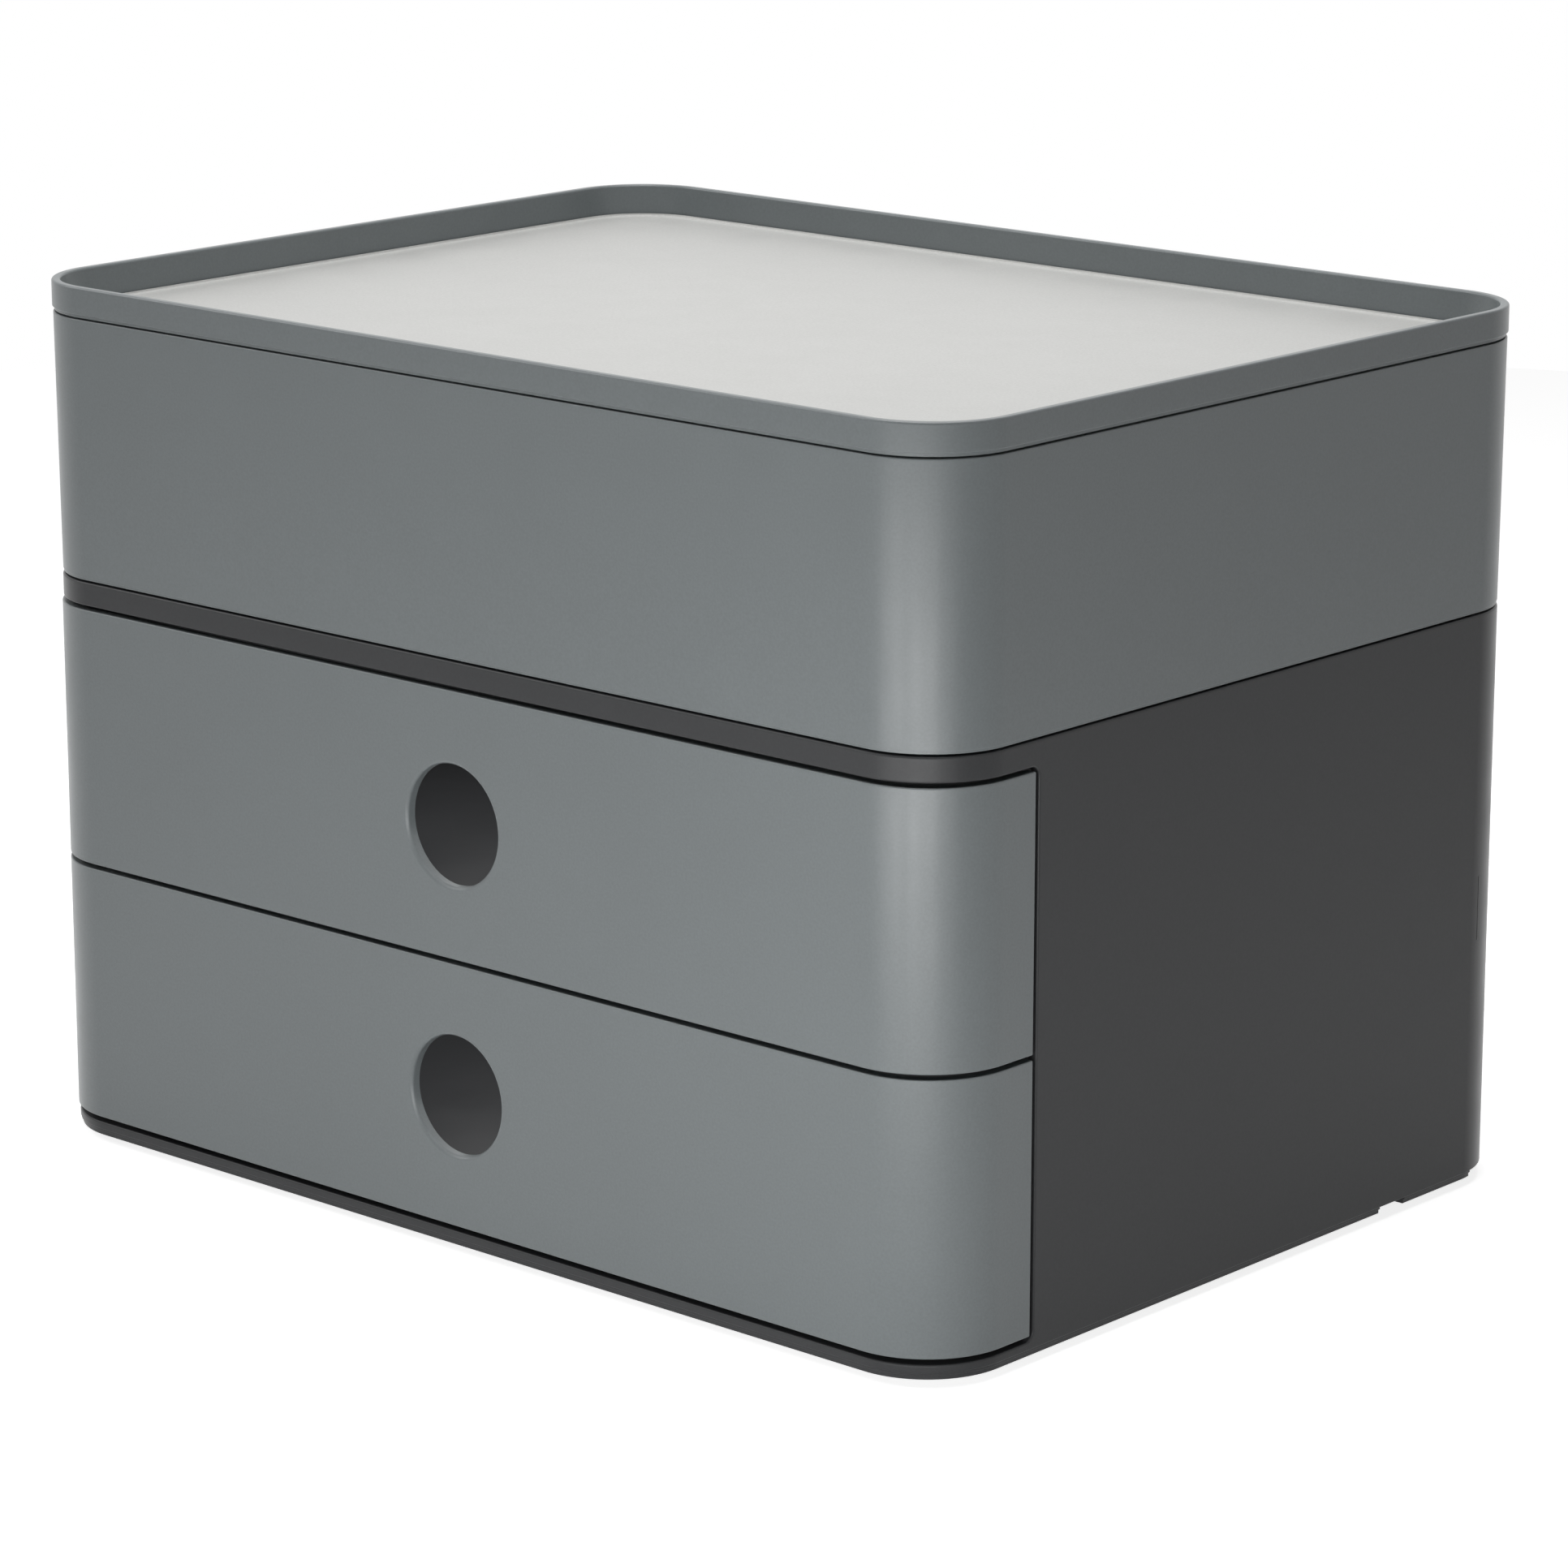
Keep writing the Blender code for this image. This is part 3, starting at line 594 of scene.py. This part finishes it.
def build_drawer(label, granite, charcoal):
    """One drawer: its front round both corners, and the open tray behind it."""
    low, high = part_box(f"{label}_drawer_front")
    tray_low, tray_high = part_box(f"{label}_drawer_tray")
    body = f"{label}_drawer"
    hole_level = (low.z + high.z) / 2
    corners = [
        (0.0, low.z, FRONT_EDGE_ROUND),
        (0.0, high.z, FRONT_EDGE_ROUND),
        (FRONT_THICKNESS, high.z, BREAK_EDGE),
        (FRONT_THICKNESS, low.z, BREAK_EDGE),
    ]
    wall = wrap_mesh(f"{label}_front_moulding", HALF_WIDTH - high.x, high.y, -1, corners)
    wide = HOLE_RADIUS + HOLE_ROUND
    pairs = [(wide, low.y - OVERRUN)]
    pairs += arc(wide, low.y + HOLE_ROUND, HOLE_ROUND, -90, -180, FILLET_STEPS * 2)
    pairs.append((HOLE_RADIUS, low.y + FRONT_THICKNESS + OVERRUN))
    front = carved(wall, [turned("hole", pairs, (0.0, hole_level), HOLE_STEPS, "Y")])
    front = break_edges(front, BREAK_EDGE, BREAK_STEPS, lambda edge: True)
    front.name = f"{label}_front_moulding"
    piece(front.name, front, body, "granite_plastic", granite, f"{label}_drawer_front")

    half_x = tray_high.x - TRAY_LUG_REACH
    half_y = (tray_high.y - tray_low.y) / 2
    centre_y = (tray_high.y + tray_low.y) / 2
    floor = tray_low.z + TRAY_FLOOR
    corners = [
        (CAP_BORDER, tray_low.z, 0),
        (0.0, tray_low.z, TRAY_EDGE_ROUND),
        (0.0, tray_high.z, TRAY_RIM_ROUND),
        (TRAY_WALL, tray_high.z, TRAY_RIM_ROUND),
        (TRAY_WALL, floor, TRAY_FLOOR_ROUND),
        (TRAY_WALL + TRAY_CAP_BORDER, floor, 0),
    ]
    loops = []
    for inset, z in soften(corners):
        loops.append(rounded_rectangle(half_x - inset, half_y - inset, TRAY_CORNER - inset, z, centre_y))
    wall = skin_loops(f"{label}_tray_moulding", loops)
    radius = HOLE_RADIUS + TRAY_HOLE_MARGIN
    pairs = ((radius, tray_low.y - OVERRUN), (radius, tray_low.y + TRAY_WALL + OVERRUN))
    hole = turned("tray_hole", pairs, (0.0, hole_level), HOLE_STEPS, "Y")
    tray = carved(wall, [hole])
    tray = break_edges(tray, BREAK_EDGE, BREAK_STEPS, lambda edge: True)
    tray.name = f"{label}_tray_moulding"
    piece(tray.name, tray, body, "charcoal_plastic", charcoal, f"{label}_drawer_tray")


def build_feet(rubber):
    """Four rubber feet under the base."""
    for label in ("front_left", "front_right", "rear_left", "rear_right"):
        low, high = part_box(f"foot_{label}")
        centre = (low + high) / 2
        radius = (high.x - low.x) / 2
        corners = [
            (FOOT_CENTRE, low.z, 0),
            (radius, low.z, FOOT_ROUND),
            (radius, high.z, FOOT_TOP_ROUND),
            (FOOT_CENTRE, high.z, 0),
        ]
        mesh = turned(f"{label}_foot_pad", soften(corners), (centre.x, centre.y), FOOT_STEPS, "Z")
        piece(f"{label}_foot_pad", mesh, "housing", "foot_rubber", rubber, f"foot_{label}")


def finish_runners(charcoal):
    """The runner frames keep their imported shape, with a fine break on the edges."""
    for label in ("left", "right"):
        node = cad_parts[f"{label}_runner_frame"]
        node.data.materials.clear()
        node.data.materials.append(charcoal)
        weld = node.modifiers.new("weld", "WELD")
        weld.merge_threshold = FRAME_WELD_DISTANCE
        bevel = node.modifiers.new("edge break", "BEVEL")
        bevel.width = BREAK_EDGE
        bevel.segments = BREAK_STEPS
        bevel.limit_method = "ANGLE"


# The photograph's camera, from a fit of the object's edges
CAMERA_AZIMUTH = 41.902
CAMERA_ELEVATION = 14.466
CAMERA_PLACE = Vector((784.96, -870.95, 384.42)) * MM
FOCAL_PIXELS = 6911.63
FRAME_PIXELS = 1932
PRINCIPAL_POINT = (964.61, 966.15)
SENSOR_WIDTH = 36.0
CLIP_NEAR = 0.05
CLIP_FAR = 50


def build_camera():
    data = bpy.data.cameras.new("camera")
    data.sensor_width = SENSOR_WIDTH
    data.lens = FOCAL_PIXELS / FRAME_PIXELS * SENSOR_WIDTH
    data.shift_x = (FRAME_PIXELS / 2 - PRINCIPAL_POINT[0]) / FRAME_PIXELS
    data.shift_y = (PRINCIPAL_POINT[1] - FRAME_PIXELS / 2) / FRAME_PIXELS
    data.clip_start = CLIP_NEAR
    data.clip_end = CLIP_FAR
    made = bpy.data.objects.new("camera", data)
    bpy.context.scene.collection.objects.link(made)
    azimuth = math.radians(CAMERA_AZIMUTH)
    elevation = math.radians(CAMERA_ELEVATION)
    back = Vector((math.sin(azimuth) * math.cos(elevation), -math.cos(azimuth) * math.cos(elevation),
                   math.sin(elevation)))
    right = Vector((math.cos(azimuth), math.sin(azimuth), 0))
    up = back.cross(right)
    turn = Matrix((right, up, back)).transposed()
    made.matrix_world = Matrix.Translation(CAMERA_PLACE) @ turn.to_4x4()
    bpy.context.scene.camera = made


LAMP_TARGET = Vector((0, 0, 0.09))


def around(azimuth, elevation, distance):
    """A place round the object. Azimuth 0 is in front and 90 to the right."""
    azimuth = math.radians(azimuth)
    elevation = math.radians(elevation)
    away = Vector((math.sin(azimuth) * math.cos(elevation), -math.cos(azimuth) * math.cos(elevation),
                   math.sin(elevation)))
    return LAMP_TARGET + away * distance, away


def lamp(name, place, away, width, height, radiance):
    """A rectangular lamp that shines against the direction away, given by how bright its face is."""
    data = bpy.data.lights.new(name, "AREA")
    data.shape = "RECTANGLE"
    data.size = width
    data.size_y = height
    data.energy = radiance * math.pi * width * height
    made = bpy.data.objects.new(name, data)
    made.location = place
    made.visible_camera = False
    made.rotation_mode = "QUATERNION"
    made.rotation_quaternion = away.to_track_quat("Z", "Y")
    bpy.context.scene.collection.objects.link(made)
    return made


def softbox(name, azimuth, elevation, distance, width, height, radiance):
    """A rectangular lamp round the object that faces its middle."""
    place, away = around(azimuth, elevation, distance)
    return lamp(name, place, away, width, height, radiance)


# Name, azimuth, elevation, distance, width, height, radiance
LAMPS = (
    ("strip_far_left", -10, -5, 0.45, 0.16, 0.08, 0.8),
    ("strip_left", 10, -5, 0.45, 0.16, 0.08, 4.8),
    ("strip_middle", 25, -5, 0.45, 0.16, 0.08, 4.8),
    ("strip_right", 40, -5, 0.45, 0.16, 0.08, 5.9),
    ("strip_far_right", 55, -5, 0.45, 0.16, 0.08, 2.4),
    ("side", -60, 35, 1.6, 0.8, 0.7, 3.0),
    ("top", 0, 89, 0.6, 0.5, 0.5, 3.8),
)
TRAY_LAMP_DEPTH = 0.12
TRAY_LAMP_DROP = 2 * MM
TRAY_LAMP_RADIANCE = 1.15
WORLD_LEVEL = 0.05
FLOOR_LIFT = 0.8
FLOOR_ALBEDO = 0.9
FLOOR_ROUGHNESS = 0.9
FLOOR_REACH = 1.0


def seen_as_background(node_tree):
    """A value that is 1 for the rays that show the background: camera, glossy and transmission rays."""
    path = node_tree.nodes.new("ShaderNodeLightPath")
    value = path.outputs["Is Camera Ray"]
    for name in ("Is Glossy Ray", "Is Transmission Ray"):
        either = node_tree.nodes.new("ShaderNodeMath")
        either.operation = "MAXIMUM"
        node_tree.links.new(value, either.inputs[0])
        node_tree.links.new(path.outputs[name], either.inputs[1])
        value = either.outputs[0]
    return value


def build_light():
    for values in LAMPS:
        softbox(*values)
    for label in ("lower", "upper"):
        low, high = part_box(f"{label}_drawer_tray")
        place = Vector((0.0, low.y + TRAY_LAMP_DEPTH / 2 + TRAY_WALL, high.z - TRAY_LAMP_DROP))
        width = high.x - low.x - 2 * TRAY_CORNER
        lamp(f"{label}_tray_fill", place, Vector((0, 0, 1)), width, TRAY_LAMP_DEPTH, TRAY_LAMP_RADIANCE)
    world = bpy.data.worlds.new("studio")
    bpy.context.scene.world = world
    world.use_nodes = True
    background = world.node_tree.nodes["Background"]
    level = world.node_tree.nodes.new("ShaderNodeMapRange")
    level.inputs["To Min"].default_value = WORLD_LEVEL
    level.inputs["To Max"].default_value = 1.0
    world.node_tree.links.new(seen_as_background(world.node_tree), level.inputs["Value"])
    background.inputs["Color"].default_value = (1, 1, 1, 1)
    world.node_tree.links.new(level.outputs["Result"], background.inputs["Strength"])


def build_floor():
    """A pale floor that shows as white except where the object shades it."""
    mesh = bpy.data.meshes.new("floor")
    shape = bmesh.new()
    bmesh.ops.create_circle(shape, cap_ends=True, segments=HOLE_STEPS, radius=FLOOR_REACH)
    shape.to_mesh(mesh)
    shape.free()
    floor = bpy.data.objects.new("floor", mesh)
    bpy.context.scene.collection.objects.link(floor)
    made = bpy.data.materials.new("floor_white")
    made.use_nodes = True
    shader = made.node_tree.nodes["Principled BSDF"]
    shader.inputs["Base Color"].default_value = (FLOOR_ALBEDO, FLOOR_ALBEDO, FLOOR_ALBEDO, 1)
    shader.inputs["Roughness"].default_value = FLOOR_ROUGHNESS
    shader.inputs["Specular IOR Level"].default_value = 0.0
    lift = made.node_tree.nodes.new("ShaderNodeMath")
    lift.operation = "MULTIPLY"
    lift.inputs[1].default_value = FLOOR_LIFT
    made.node_tree.links.new(seen_as_background(made.node_tree), lift.inputs[0])
    shader.inputs["Emission Color"].default_value = (1, 1, 1, 1)
    made.node_tree.links.new(lift.outputs[0], shader.inputs["Emission Strength"])
    mesh.materials.append(made)


def main():
    granite, charcoal, painted_highlight, pale, rubber = [plastic(*values) for values in PLASTICS]
    build_lid(granite, pale)
    build_box(granite)
    build_housing(charcoal, painted_highlight)
    build_back_panel(charcoal)
    for label in ("lower", "upper"):
        build_drawer(label, granite, charcoal)
    build_feet(rubber)
    finish_runners(charcoal)
    build_floor()
    build_light()
    build_camera()
    bpy.context.scene.view_settings.view_transform = "Standard"


main()
